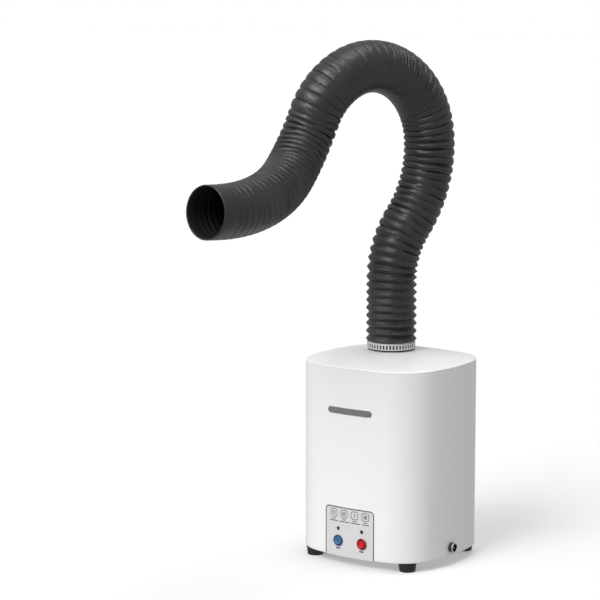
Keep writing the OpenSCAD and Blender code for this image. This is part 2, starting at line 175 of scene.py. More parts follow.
def sun(name, direction, strength, width):
    """A distant light: its direction, its strength and how many degrees wide it is."""
    data = bpy.data.lights.new(name, "SUN")
    data.energy = strength
    data.angle = math.radians(width)
    light = bpy.data.objects.new(name, data)
    light.rotation_euler = Vector(direction).to_track_quat("-Z", "Y").to_euler()
    bpy.context.collection.objects.link(light)


def light_studio():
    world = bpy.data.worlds.new("studio")
    world.use_nodes = True
    background = world.node_tree.nodes["Background"]
    background.inputs["Color"].default_value = (1, 1, 1, 1)
    background.inputs["Strength"].default_value = WORLD_STRENGTH
    bpy.context.scene.world = world
    sun("key", (0.04, 0.76, -0.65), 2.3, 30)
    sun("kick", (0.411, 0.621, -0.665), 0.45, 20)
    sun("top", (-0.1, -0.1, -1), 1.0, 26)
    bpy.context.scene.view_settings.view_transform = "Standard"


def stage_piece(name, verts, faces, albedo, glow):
    """A part of the studio. It lights nothing, so that the object keeps its own shading."""
    mesh = bpy.data.meshes.new(name)
    mesh.from_pydata(verts, [], faces)
    obj = bpy.data.objects.new(name, mesh)
    bpy.context.collection.objects.link(obj)
    material, _, bsdf = shader(name)
    bsdf.inputs["Base Color"].default_value = (albedo, albedo, albedo, 1)
    bsdf.inputs["Roughness"].default_value = 1.0
    bsdf.inputs["Specular IOR Level"].default_value = 0.0
    bsdf.inputs["Emission Color"].default_value = (1, 1, 1, 1)
    bsdf.inputs["Emission Strength"].default_value = glow
    mesh.materials.append(material)
    obj.visible_diffuse = obj.visible_glossy = obj.visible_transmission = False
    return obj


def build_stage():
    """A pale floor in a plain white room, small enough that no view's far clip cuts it off."""
    square = [(-1, -1), (1, -1), (1, 1), (-1, 1)]
    corners = [(FLOOR_HALF * x, FLOOR_HALF * y, 0) for x, y in square]
    stage_piece("floor", corners, [(0, 1, 2, 3)], FLOOR_ALBEDO, FLOOR_GLOW)
    verts = [(BACKDROP_HALF * x, BACKDROP_HALF * y, z) for z in (-0.5, CEILING) for x, y in square]
    sides = [(i, (i + 1) % 4, (i + 1) % 4 + 4, i + 4) for i in range(4)]
    backdrop = stage_piece("backdrop", verts, sides + [(4, 5, 6, 7)], 0.0, 1.0)
    backdrop.visible_shadow = False


# ---------------------------------------------------------------- materials

def shader(name):
    """A new node material: the material, its node tree and its Principled shader."""
    material = bpy.data.materials.new(name)
    material.use_nodes = True
    return material, material.node_tree, material.node_tree.nodes["Principled BSDF"]


def coordinates(tree, stretch=(1, 1, 1)):
    where = tree.nodes.new("ShaderNodeTexCoord")
    mapping = tree.nodes.new("ShaderNodeMapping")
    mapping.inputs["Scale"].default_value = stretch
    tree.links.new(where.outputs["Object"], mapping.inputs["Vector"])
    return mapping.outputs["Vector"]


def noise_texture(tree, vector, scale, detail=4.0):
    made = tree.nodes.new("ShaderNodeTexNoise")
    made.inputs["Scale"].default_value = scale
    made.inputs["Detail"].default_value = detail
    tree.links.new(vector, made.inputs["Vector"])
    return made.outputs["Fac"]


def colours(tree, factor, low, high):
    """A colour between two, over the middle range of a noise."""
    made = tree.nodes.new("ShaderNodeValToRGB")
    for element, position, colour in zip(made.color_ramp.elements, (0.3, 0.7), (low, high)):
        element.position = position
        element.color = (*colour, 1)
    tree.links.new(factor, made.inputs["Fac"])
    return made.outputs["Color"]


def remapped(tree, factor, low, high):
    made = tree.nodes.new("ShaderNodeMapRange")
    made.inputs["To Min"].default_value = low
    made.inputs["To Max"].default_value = high
    tree.links.new(factor, made.inputs["Value"])
    return made.outputs["Result"]


def bump(tree, bsdf, height, strength, distance):
    made = tree.nodes.new("ShaderNodeBump")
    made.inputs["Strength"].default_value = strength
    made.inputs["Distance"].default_value = distance
    tree.links.new(height, made.inputs["Height"])
    tree.links.new(made.outputs["Normal"], bsdf.inputs["Normal"])


def grained(name, low, high, rough, grain, stretch=(1, 1, 1), bumps=0.15, depth=0.0002,
            metallic=0.0, coat=0.0, sheen=0.0):
    """A surface with a fine grain: its colour varies broadly, its roughness and bump finely."""
    rough_span = 0.05
    material, tree, bsdf = shader(name)
    vector = coordinates(tree, stretch)
    fine = noise_texture(tree, vector, grain)
    broad = noise_texture(tree, vector, grain / 25, 2.0)
    roughness = remapped(tree, fine, rough - rough_span, rough + rough_span)
    tree.links.new(colours(tree, broad, low, high), bsdf.inputs["Base Color"])
    tree.links.new(roughness, bsdf.inputs["Roughness"])
    bsdf.inputs["Metallic"].default_value = metallic
    bsdf.inputs["Coat Weight"].default_value = coat
    bsdf.inputs["Coat Roughness"].default_value = 0.12
    bsdf.inputs["Sheen Weight"].default_value = sheen
    bump(tree, bsdf, fine, bumps, depth)
    return material


def duct_material():
    """Coated cloth over a wire: dark, half glossy, with fine wrinkles across the ribs."""
    material, tree, bsdf = shader("duct")
    vector = coordinates(tree)
    cloth = noise_texture(tree, vector, 1300)
    folds = noise_texture(tree, coordinates(tree, (1, 1, 1.6)), 95, 6.0)
    cloud = noise_texture(tree, vector, 16, 3.0)
    colour = colours(tree, cloud, (0.016, 0.016, 0.017), (0.025, 0.025, 0.026))
    tree.links.new(colour, bsdf.inputs["Base Color"])
    tree.links.new(remapped(tree, folds, 0.29, 0.45), bsdf.inputs["Roughness"])
    both = tree.nodes.new("ShaderNodeMath")
    both.operation = "MULTIPLY_ADD"
    tree.links.new(folds, both.inputs[0])
    both.inputs[1].default_value = 4.0
    tree.links.new(cloth, both.inputs[2])
    bump(tree, bsdf, both.outputs["Value"], 0.45, 0.0005)
    return material


def grey(v):
    return (v, v, v)


def make_materials():
    """A material for each slot of the record, and for the colours inside a slot."""
    satin = {"rough": 0.4, "grain": 1200, "bumps": 0.04}
    looks = {
        "white_shell": dict(low=grey(0.812), high=grey(0.82), rough=0.36, grain=900, bumps=0.02,
                            coat=0.12),
        "inner_shell": dict(low=grey(0.60), high=grey(0.66), rough=0.5, grain=700),
        "rubber": dict(low=grey(0.008), high=grey(0.014), rough=0.5, grain=1200, bumps=0.3),
        "steel": dict(low=grey(0.50), high=grey(0.64), rough=0.3, grain=900, stretch=(1, 1, 12),
                      metallic=1.0, bumps=0.08, depth=5e-5),
        # pale steel for the clamp band: its light, half-diffuse colour is painted reflection
        "steel_painted_reflection": dict(low=grey(0.74), high=grey(0.80), rough=0.3, grain=900,
                             metallic=0.35, bumps=0.04, depth=5e-5),
        "grille": dict(low=grey(0.70), high=grey(0.75), rough=0.42, grain=900, bumps=0.1),
        "dark_plastic": dict(low=grey(0.016), high=grey(0.026), rough=0.4, grain=1400,
                             bumps=0.25),
        "panel": dict(low=grey(0.60), high=grey(0.64), rough=0.42, grain=1600, bumps=0.08),
        "print": dict(low=(0.05, 0.055, 0.09), high=(0.07, 0.075, 0.11), rough=0.5, grain=1500,
                      bumps=0.05),
        "border": dict(low=grey(0.08), high=grey(0.10), rough=0.4, grain=1500, bumps=0.05),
        "badge": dict(low=grey(0.20), high=grey(0.27), rough=0.34, grain=1200,
                      stretch=(1, 1, 30), metallic=0.5, bumps=0.1),
        "led": dict(low=grey(0.001), high=grey(0.002), rough=0.55, grain=1500, bumps=0.02),
        "blue_ring": dict(low=(0.016, 0.055, 0.15), high=(0.022, 0.07, 0.18), **satin),
        "blue_button": dict(low=(0.04, 0.15, 0.30), high=(0.055, 0.18, 0.35), **satin),
        "red_ring": dict(low=(0.17, 0.0, 0.001), high=(0.21, 0.0, 0.002), **satin),
        "red_button": dict(low=(0.46, 0.0, 0.002), high=(0.52, 0.0, 0.004), **satin),
        "red_mark": dict(low=(0.68, 0.0, 0.002), high=(0.76, 0.0, 0.004), **satin),
        "board": dict(low=(0.01, 0.10, 0.035), high=(0.015, 0.13, 0.05), rough=0.35, grain=600,
                      bumps=0.1),
        "copper": dict(low=(0.55, 0.20, 0.07), high=(0.68, 0.28, 0.10), rough=0.32, grain=1500,
                       stretch=(1, 1, 8), metallic=1.0, bumps=0.5),
        "nickel": dict(low=grey(0.70), high=grey(0.80), rough=0.18, grain=900, metallic=1.0,
                       bumps=0.03),
        "lead_red": dict(low=(0.42, 0.012, 0.012), high=(0.5, 0.02, 0.02), rough=0.42, grain=900),
        "lead_yellow": dict(low=(0.66, 0.42, 0.02), high=(0.74, 0.5, 0.03), rough=0.42,
                            grain=900),
        "gasket": dict(low=grey(0.42), high=grey(0.50), rough=0.6, grain=900),
        "card": dict(low=grey(0.79), high=grey(0.83), rough=0.55, grain=500, bumps=0.12),
        "media": dict(low=(0.70, 0.68, 0.61), high=(0.77, 0.75, 0.69), rough=0.9, grain=260,
                      bumps=0.8, depth=0.001),
        "pad": dict(low=grey(0.80), high=grey(0.85), rough=0.9, grain=380, stretch=(1, 1, 3),
                    bumps=0.7, depth=0.0006, sheen=0.2),
        "strap": dict(low=grey(0.010), high=grey(0.016), rough=0.38, grain=1400,
                      stretch=(1, 1, 0.2), bumps=0.35),
    }
    made = {name: grained(name, **look) for name, look in looks.items()}
    made["duct"] = duct_material()
    made["bezels"] = made["blue_ring"]      # each bezel in view takes its own ring colour
    return made


# ---------------------------------------------------------------- mesh helpers

def shade(mesh, sharp):
    """Outward normals, and smooth shading with creases past an angle."""
    made = bmesh.new()
    made.from_mesh(mesh)
    bmesh.ops.remove_doubles(made, verts=made.verts, dist=1e-6)
    bmesh.ops.recalc_face_normals(made, faces=made.faces)
    for face in made.faces:
        face.smooth = True
    limit = math.radians(sharp)
    for edge in made.edges:
        edge.smooth = len(edge.link_faces) == 2 and edge.calc_face_angle(0) < limit
    made.to_mesh(mesh)
    made.free()


def loose(name, solid):
    """An object from (vertices in millimetres, faces)."""
    verts, faces = solid
    mesh = bpy.data.meshes.new(name)
    mesh.from_pydata([Vector(v) * MM for v in verts], [], faces)
    obj = bpy.data.objects.new(name, mesh)
    bpy.context.collection.objects.link(obj)
    return obj


def joined(solids):
    """Several solids as one."""
    verts, faces = [], []
    for more_verts, more_faces in solids:
        shift = len(verts)
        verts += list(more_verts)
        faces += [tuple(i + shift for i in face) for face in more_faces]
    return verts, faces


def cut(obj, solid):
    """Takes a solid away from an object."""
    tool = loose("tool", solid)
    for each in (obj, tool):
        shade(each.data, CREASE)
    modifier = obj.modifiers.new("cut", "BOOLEAN")
    modifier.operation = "DIFFERENCE"
    modifier.solver = "EXACT"
    modifier.object = tool
    bpy.context.view_layer.update()
    evaluated = obj.evaluated_get(bpy.context.evaluated_depsgraph_get())
    result = bpy.data.meshes.new_from_object(evaluated)
    obj.modifiers.clear()
    obj.data = result
    bpy.data.objects.remove(tool)


def piece(name, solid, slot, body, stands_for=(), holes=(), material=None, sharp=CREASE):
    """A finished piece: holes cut, shaded, riding on its body and standing for its CAD nodes."""
    obj = loose(name, solid)
    for hole in holes:
        cut(obj, hole)
    shade(obj.data, sharp)
    obj.data.materials.clear()
    obj.data.materials.append(MATERIALS[material or slot])
    if body:
        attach(obj, body)
    if stands_for:
        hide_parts(*stands_for)
    return obj


def loft(rings, caps=True):
    """Faces between closed rings of equally many points: capped, or joined end to end."""
    verts = [tuple(p) for ring in rings for p in ring]
    count, faces = len(rings[0]), []
    for j in range(len(rings) - (1 if caps else 0)):
        a, b = j * count, (j + 1) % len(rings) * count
        faces += [(a + k, a + (k + 1) % count, b + (k + 1) % count, b + k) for k in range(count)]
    if caps:
        faces += [tuple(reversed(range(count))), tuple(range(len(verts) - count, len(verts)))]
    return verts, faces


def eased(points, radius, closed=True, steps=4):
    """A path in a plane with its corners rounded."""
    made = []
    count = len(points)
    for i, p in enumerate(points):
        p = Vector(p)
        if not closed and i in (0, count - 1):
            made.append(p)
            continue
        a, b = Vector(points[i - 1]) - p, Vector(points[(i + 1) % count]) - p
        reach = min(radius, 0.45 * a.length, 0.45 * b.length)
        start, end = p + a.normalized() * reach, p + b.normalized() * reach
        for k in range(steps + 1):
            t = k / steps
            made.append(start * (1 - t) ** 2 + p * 2 * t * (1 - t) + end * t * t)
    return made


def lathe(profile, at, caps=False, steps=56):
    """A profile of (radius, height) turned about the Z axis of a frame."""
    turns = [2 * math.pi * k / steps for k in range(steps)]
    return loft([[at @ Vector((r * math.cos(a), r * math.sin(a), z)) for a in turns]
                 for r, z in profile], caps)


def rounded_rect(width, height, radius, x=0.0, z=0.0, steps=6):
    points = []
    for i, (sx, sz) in enumerate([(1, 1), (-1, 1), (-1, -1), (1, -1)]):
        for k in range(steps + 1):
            a = math.radians(90 * i + 90 * k / steps)
            points.append((x + sx * (width / 2 - radius) + radius * math.cos(a),
                           z + sz * (height / 2 - radius) + radius * math.sin(a)))
    return points


def circle(radius, x=0.0, z=0.0, steps=24):
    turns = [2 * math.pi * k / steps for k in range(steps)]
    return [(x + radius * math.cos(a), z + radius * math.sin(a)) for a in turns]


def prism(loop, low, high):
    """A flat loop of (x, y) standing from low to high."""
    return loft([[(x, y, z) for x, y in loop] for z in (low, high)])


def frame_at(place, out):
    """A frame at a place, its Z axis along out."""
    return Matrix.Translation(place) @ Vector(out).to_track_quat("Z", "Y").to_matrix().to_4x4()


def tilt(i, t):
    """The slope of side i of the plan, a share t along it."""
    return math.atan(4 * BULGE * (1 - 2 * t) / (2 * CORE[i % 2]))


def outline(grow, side_steps=16):
    """The column's plan, moved outwards by grow: bulging sides between round corners."""
    corner_steps = 20
    points, radius = [], CORNER_R + grow
    for i in range(4):
        run, out = 2 * CORE[i % 2], CORE[(i + 1) % 2]
        local = []
        for k in range(side_steps + 1):
            t = k / side_steps
            a = -tilt(i, t)
            local.append((out + 4 * BULGE * t * (1 - t) + radius * math.cos(a),
                          run * (t - 0.5) + radius * math.sin(a)))
        first, last = tilt(i, 0), math.pi / 2 - tilt(i + 1, 0)
        for k in range(1, corner_steps):
            a = first + (last - first) * k / corner_steps
            local.append((out + radius * math.cos(a), run / 2 + radius * math.sin(a)))
        turn = Matrix.Rotation(math.radians(90 * i - 90), 2)
        points += [turn @ Vector(p) for p in local]
    return points


def plan_ring(grow, z):
    return [(x, y, z) for x, y in outline(grow)]


def plan_solid(profile, caps=True):
    return loft([plan_ring(grow, z) for grow, z in profile], caps)


FRONT_STEPS = 60
FRONT = outline(0, FRONT_STEPS)[:FRONT_STEPS + 1]


def front_y(x):
    """How far forward the housing's front lies at x."""
    return float(np.interp(x, [p.x for p in FRONT], [-p.y for p in FRONT]))


def on_front(x, z, out=0.0):
    return Vector((x, -front_y(x) - out, z))


def from_smallest(corners):
    """A face's corners, from the smallest on towards its smaller neighbour."""
    at = corners.index(min(corners))
    turned = corners[at:] + corners[:at]
    return tuple(turned if turned[1] < turned[-1] else turned[:1] + turned[:0:-1])


def front_slab(loop, back, front, columns=24):
    """A plate that follows the front: a loop of (x, z), between two distances out of it."""
    made = bmesh.new()
    made.faces.new([made.verts.new((x, 0, z)) for x, z in loop])
    low, high = min(p[0] for p in loop), max(p[0] for p in loop)
    for k in range(1, columns):
        everything = made.verts[:] + made.edges[:] + made.faces[:]
        at = (low + (high - low) * k / columns, 0, 0)
        bmesh.ops.bisect_plane(made, geom=everything, plane_co=at, plane_no=(1, 0, 0))
    region = bmesh.ops.extrude_face_region(made, geom=made.faces[:], use_keep_orig=True)
    lifted = {v for v in region["geom"] if isinstance(v, bmesh.types.BMVert)}
    # sorted, because Blender gives them in another order each run
    ordered = sorted(made.verts, key=lambda v: (v in lifted, v.co.x, v.co.z))
    place = {v: i for i, v in enumerate(ordered)}
    faces = sorted(from_smallest([place[v] for v in f.verts]) for f in made.faces)
    verts = [tuple(on_front(v.co.x, v.co.z, front if v in lifted else back)) for v in ordered]
    made.free()
    return verts, faces


def front_line(path, width, closed=True, height=0.14):
    """A printed line of even width along a path of (x, z) on the front."""
    points = []
    for a, b in zip(path, path[1:] + path[:1]):
        parts = math.ceil((Vector(b) - Vector(a)).length / PRINT_STRETCH)
        points += [Vector(a).lerp(Vector(b), k / parts) for k in range(parts)]
    if not closed:
        points = points[:points.index(Vector(path[-1])) + 1]
    sections = []
    count = len(points)
    for i, p in enumerate(points):
        before = points[i - 1] if closed or i > 0 else p
        after = points[(i + 1) % count] if closed or i < count - 1 else p
        along = (after - before).normalized()
        across = Vector((-along.y, along.x)) * width / 2
        a, b = p + across, p - across
        sections.append([on_front(a.x, a.y, height), on_front(a.x, a.y, -PRINT_SINK),
                         on_front(b.x, b.y, -PRINT_SINK), on_front(b.x, b.y, height)])
    return loft(sections, not closed)


# ---------------------------------------------------------------- housing and cover

def panel_loop(extra):
    """The panel's outline, moved outwards by extra: square at the foot and round at the top."""
    w, h, r = PANEL_W + 2 * extra, PANEL_H + extra, PANEL_R + extra
    top = []
    for sx, first in ((1, 0), (-1, 90)):
        for a in range(first, first + 91, 10):
            top.append((PANEL_X + sx * (w / 2 - r) + r * math.cos(math.radians(a)),
                        FLOOR_Z + h - r + r * math.sin(math.radians(a))))
    return [(PANEL_X - w / 2, FLOOR_Z - extra), (PANEL_X + w / 2, FLOOR_Z - extra)] + top


def control_holes():
    """Openings for the buttons and lamps, from front to back."""
    holes = []
    for side in (-1, 1):
        x = CONTROLS_X + side * BUTTON_PITCH / 2
        for z, r in ((BUTTON_Z, 8.5), (LED_Z, 2.5)):
            at = frame_at(on_front(x, z), (0, -1, 0))
            holes.append(lathe([(r, -12), (r, 6)], at, caps=True, steps=40))
    return joined(holes)


def build_housing():
    """The column's wall, open at both ends, with its panel seat, grille window and inlet hole."""
    top, foot, rows = HOUSING_TOP, FLOOR_Z, 30
    levels = [foot + (top - foot) * k / rows for k in range(2, rows - 1)]
    profile = eased([(-WALL, foot), (0, foot), (0, foot + 5)], 1.6, False)
    profile += [(0, z) for z in levels]
    profile += eased([(0, top - 5), (0, top), (-WALL, top), (-WALL, top - 5)], 0.5, False)
    profile += [(-WALL, z) for z in reversed(levels)]
    frame_of_window = rounded_rect(WINDOW_W, WINDOW_H, 2, 0, WINDOW_Z)
    window = loft([[(x, y, z) for x, z in frame_of_window] for y in (95, 125)])
    jack = lathe([(6.2, 0), (6.2, 30)], frame_at((104, INLET_Y, INLET_Z), (1, 0, 0)), caps=True)
    piece("housing", plan_solid(profile, caps=False), "white_shell", "case", ["housing_shell"],
          [front_slab(panel_loop(0.3), -PANEL_T, 5), control_holes(), window, jack])


def build_cover():
    """The cover in one skin: skirt, dome, hose collar, bore, underside and locating lip."""
    edge = outline(-2.6)
    bearings = [math.atan2(p.y, p.x) for p in edge]
    rise, rows = 1.25, 20       # the dome's curve, and its rings

    def dome(v, z, inner=0.0):
        """A ring that changes from the plan, at v = 0, to the collar's circle, at v = 1."""
        eye = DOME_EYE_R - inner
        return [(p.x * (1 - v) + eye * math.cos(a) * v, p.y * (1 - v) + eye * math.sin(a) * v, z)
                for p, a in zip(edge, bearings)]

    skirt = eased([(-WALL - 0.3, COVER_Z), (0, COVER_Z), (0, COVER_Z + 1.8),
                   (-0.7, COVER_Z + 2.5), (-2.6, RIM_Z)], 0.5, False)
    rings = [plan_ring(g, z) for g, z in skirt]
    rings += [dome(k / rows, RIM_Z + DOME_H * (1 - (1 - k / rows) ** rise))
              for k in range(1, rows + 1)]
    collar = eased([(39, 328.2), (COLLAR_R, 328.6), (COLLAR_R, COLLAR_TOP),
                    (BORE_R, COLLAR_TOP), (BORE_R, 325)], 0.9, False)
    rings += [[(r * math.cos(a), r * math.sin(a), z) for a in bearings] for r, z in collar]
    rings += [dome(1 - k / 10, 324.8 - 10 * (k / 10) ** rise, WALL) for k in range(10)]
    lip = eased([(-5.3, 313.6), (-5.3, 305), (-WALL - 0.3, 305)], 0.7, False)
    rings += [plan_ring(g, z) for g, z in lip]
    piece("cover", loft(rings, caps=False), "white_shell", "cover", ["top_cover"], sharp=40)


def build_feet():
    profile = eased([(0, 5), (5, 5), (5, 0), (12.6, 0), (14, 11.5), (14.4, 12.2),
                     (14.4, FLOOR_Z), (0, FLOOR_Z)], 0.9, False)
    feet = [lathe(profile, Matrix.Translation((x, y, 0)), caps=True)
            for x in (-FOOT_X, FOOT_X) for y in (-FOOT_Y, FOOT_Y)]
    piece("feet", joined(feet), "rubber", "case", ["rubber_feet"])


def build_clamp():
    """Slotted worm-drive band, with its worm at the back."""
    outside, top, middle = CLAMP_R + CLAMP_T, CLAMP_Z + CLAMP_H, CLAMP_Z + CLAMP_H / 2
    band = eased([(CLAMP_R, CLAMP_Z), (outside, CLAMP_Z), (outside, top), (CLAMP_R, top)], 0.3,
                 steps=2)
    loop, slots = rounded_rect(6.4, 2.8, 0.7, steps=2), []
    for k in range(CLAMP_SLOTS):
        turn = Matrix.Rotation(math.radians(FIRST_SLOT + SLOT_TURN * k), 4, "Z")
        stand = (turn @ Matrix.Translation((CLAMP_R, 0, middle))
                 @ Matrix.Rotation(math.pi / 2, 4, "Y"))
        slots.append(loft([[stand @ Vector((x, y, z)) for x, y in loop] for z in (-2, 3)]))
    # the band's pale steel colour is painted reflection of the bright studio
    piece("clamp_strap", lathe(band, Matrix.Identity(4), steps=180), "steel", "cover",
          ["clamp_band"], [joined(slots)], material="steel_painted_reflection")

    back = frame_at((0, outside + 0.2, middle), (0, 1, 0))
    block = loft([[back @ Vector((x, y, z))
                   for x, y in rounded_rect(16 - grow, 10 - grow, 1.6, steps=4)]
                  for grow, z in eased([(0, 0), (0, 8), (1.6, 8)], 1.4, False)])
    bore = lathe([(3.2, -10), (3.2, 10)], frame_at((0, outside + 4.4, middle), (-1, 0, 0)),
                 caps=True, steps=32)
    piece("clamp_worm_housing", block, "steel", "cover", ["clamp_housing"], [bore])

    low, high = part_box("clamp_screw")
    centre, length, pitch = (low + high) / 2 / MM, (high.x - low.x) / MM, 0.6
    start = frame_at((low.x / MM, centre.y, centre.z), (1, 0, 0))
    head = eased([(0, 0), (3.6, 0), (4.2, 0.6), (4.2, 4), (3.0, 4)], 0.4, False)
    thread = [(3.0 if k % 2 else 2.5, 5 + k * pitch) for k in range(int((length - 6) / pitch))]
    profile = head + thread + [(0, thread[-1][1] + 0.5)]
    screw_slot = loft([[start @ Vector((x, y, z)) for x, y in rounded_rect(9, 1.1, 0.1, steps=1)]
                       for z in (-1, 1.4)])
    piece("clamp_worm", lathe(profile, start, caps=True, steps=40), "steel", "cover",
          ["clamp_screw"], [screw_slot])


# ---------------------------------------------------------------- panel

def bar(x, z, width, height):
    """A plain bar in place of a line of lettering."""
    return front_slab(rounded_rect(width, height, height * 0.4, x, z, steps=3), -PRINT_SINK, 0.12,
                      columns=4)


def pictogram(kind, x, z):
    """Plain marks: waves, a ring, a chevron and four petals."""
    if kind == 0:
        return [front_line([(x - 3.4 + 0.85 * k, z + dz + 0.7 * math.sin(k * 1.5))
                            for k in range(9)], 0.75, False) for dz in (-2, 0.3, 2.6)]
    if kind == 1:
        return [front_line(circle(3.2, x, z), 0.8), front_line(circle(1.1, x, z, 12), 0.9)]
    if kind == 2:
        return [front_line([(x - 1.4, z + 3.2), (x + 1.6, z), (x - 1.4, z - 3.2)], 1.0, False)]
    petals = []
    for k in range(4):
        a = math.radians(90 * k + 20)
        petals.append(front_line(circle(1.25, x + 2.1 * math.cos(a), z + 2.1 * math.sin(a), 12),
                                 0.8))
    return petals


def build_panel():
    piece("panel", front_slab(panel_loop(0), -PANEL_T, 0), "panel", "case", ["control_panel"],
          [control_holes()])
    line = 1.5
    inset = panel_loop(-line / 2 - 0.1)
    path = [(inset[1][0], FLOOR_Z + 0.2)] + inset[2:] + [(inset[0][0], FLOOR_Z + 0.2)]
    piece("panel_border", front_line(path, line, closed=False, height=0.1), "print", "case",
          material="border")

    marks, frame_line = [], 0.9
    for k in range(4):
        x = ICONS_X + (k - 1.5) * ICON_PITCH
        tile = rounded_rect(ICON_SIZE - frame_line, ICON_SIZE - frame_line, 3.4, x, ICON_Z)
        marks.append(front_line(tile, frame_line))
        marks += pictogram(k, x, ICON_Z)
        marks.append(bar(x, UPPER_CAPTION_Z, 8.5 - k % 2, 1.1))
    for x, width in LOWER_CAPTIONS:
        marks.append(bar(x, LOWER_CAPTION_Z, width, 1.3))
    piece("panel_print", joined(marks), "print", "case", ["panel_icons"])

    labels = [bar(CONTROLS_X + side * BUTTON_PITCH / 2 - 0.5, LABEL_Z, 8.0, 2.1)
              for side in (-1, 1)]
    piece("button_labels", joined(labels), "print", "case", material="led")
    badge = rounded_rect(BADGE_W, BADGE_H, BADGE_H / 2, BADGE_X, BADGE_Z, steps=10)
    piece("badge_rim", front_line(badge, 0.5, height=0.75), "badge", "case")


def build_controls():
    """The two push buttons with their bezels, and the lamps over them."""
    for name, ring, cap, middle in (("mode_button", "blue_ring", "blue_button", "blue_ring"),
                                    ("power_button", "red_ring", "red_button", "red_mark")):
        low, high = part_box(name)
        x, z, front = (low.x + high.x) / 2 / MM, (low.z + high.z) / 2 / MM, low.y / MM
        at = frame_at((x, front + 2, z), (0, -1, 0))
        bezel = eased([(6.4, -4), (8.4, -4), (8.4, 0.4), (9, 0.4), (9, 1.1), (8.5, 1.6),
                       (6.9, 1.6), (6.4, 1.2)], 0.3)
        piece(name + "_bezel", lathe(bezel, at), "bezels", "case", ["button_bezels"],
              material=ring)
        stem = [(0, -14), (2, -14), (2, -6.2), (6.1, -6.2)]
        face = eased([(6.1, -6), (6.1, 1.95), (4.6, 1.95), (3.9, 1.45), (1.9, 1.3),
                      (1.6, 1.55), (0, 1.6)], 0.5, False)
        piece(name + "_cap", lathe(stem + face, at, caps=True), cap, name, [name])
        mark = eased([(0, 1.2), (2.1, 1.2), (2.1, 1.5), (0, 1.72)], 0.2, False)
        piece(name + "_mark", lathe(mark, at, caps=True, steps=32), cap, name, material=middle)
    lamp = [(0, -8), (2.4, -8), (2.4, 0.1), (2.8, 0.15), (2.75, 0.4), (2, 0.6), (0, 0.7)]
    lamps = []
    for side in (-1, 1):
        at = frame_at(on_front(CONTROLS_X + side * BUTTON_PITCH / 2, LED_Z), (0, -1, 0))
        lamps.append(lathe(lamp, at, caps=True, steps=32))
    piece("lamps", joined(lamps), "led", "case", ["led_lenses"], sharp=50)


def build_spring(name):
    """A coil between a cap and its switch."""
    low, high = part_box(name)
    middle, coil_r, wire, turns, steps = (low + high) / 2 / MM, 3.1, 0.4, 6, 18
    start, end = high.y / MM - wire, low.y / MM + wire
    round_wire = [math.pi * j / 4 for j in range(8)]
    along, rings = Vector((0, 1, 0)), []
    for k in range(turns * steps + 1):
        a, y = 2 * math.pi * k / steps, start + (end - start) * k / (turns * steps)
        outward = Vector((math.cos(a), 0, math.sin(a)))
        spot = Vector((middle.x, y, middle.z)) + coil_r * outward
        rings.append([spot + wire * (math.cos(b) * outward + math.sin(b) * along)
                      for b in round_wire])
    coil = piece(name + "_coil", loft(rings), SLOTS[name], "case", [name], sharp=60)
    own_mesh(coil)


def build_inlet():
    at = frame_at((BODY_W / 2, INLET_Y, INLET_Z), (1, 0, 0))
    body = eased([(2.75, -15), (6, -15), (6, 0), (7.7, 0), (7.7, 5.4), (6.4, 5.4), (6.4, 6.7),
                  (5.4, 6.7), (5.4, 3), (2.75, 3)], 0.3)
    piece("inlet_socket", lathe(body, at), "dark_plastic", "case", ["dc_socket_body"])
    ring = eased([(6.4, 5.4), (7.7, 5.4), (7.8, 6.8), (7.2, 7.4), (6.5, 7.1)], 0.3)
    piece("inlet_ring", lathe(ring, at), "nickel", "case", ["dc_socket_ring"])


# ---------------------------------------------------------------- filters

def slot_cutters(low, high):
    """Two columns of ten slots, as cutters from low to high."""
    cutters = []
    for side in (-1, 1):
        for k in range(10):
            loop = rounded_rect(70, 4.6, 2.2, side * 40.5, (k - 4.5) * 16.5, steps=4)
            cutters.append(prism(loop, low, high))
    return joined(cutters)


def build_filter(level, z):
    """A card box and its flanged cover, both slotted, with a strap handle on each side."""
    under, top = z + CASE_H, z + CASE_H + FLANGE_H
    body = level + "_filter"
    case = eased([(CASE_IN - 5, z + 7), (CASE_IN - 5, z), (CASE_IN, z), (CASE_IN, top - CARD),
                  (CASE_IN - CARD, top - CARD), (CASE_IN - CARD, z + 9)], 1.2, False)
    piece(body + "_box", plan_solid(case), "card", body, [body + "_case"],
          [slot_cutters(z + 5, z + 12)])
    lid = eased([(LID_IN - CARD, top - CARD), (LID_IN - CARD, under), (LID_IN, under),
                 (LID_IN, under + 9)], 0.6, False)
    lid += eased([(LID_IN, top - 8), (LID_IN, top), (LID_IN - 12, top)], 3.4, False, 8)
    piece(body + "_cover", plan_solid(lid), "card", body, [body + "_lid"],
          [slot_cutters(top - 9, top + 3)])
    for side, name in ((-1, "left"), (1, "right")):
        build_strap(level + "_strap_" + name, side, top + 0.2)


def build_strap(name, side, z):
    """A thin band bent to an arch, lying flat on the lid until it is raised."""
    hinge, half, arch, thick, wide, steps = 92, 40, 38, 1.2, 5, 48
    section = eased([(0, 0), (0, wide), (-thick, wide), (-thick, 0)], 0.35, steps=2)
    rings = []
    for k in range(steps + 1):
        a = math.pi * k / steps
        rings.append([(side * (hinge - (arch + p.x) * math.sin(a)), (half + p.x) * math.cos(a),
                       z + p.y) for p in section])
    piece(name + "_band", loft(rings), "strap", name, [name], sharp=50)


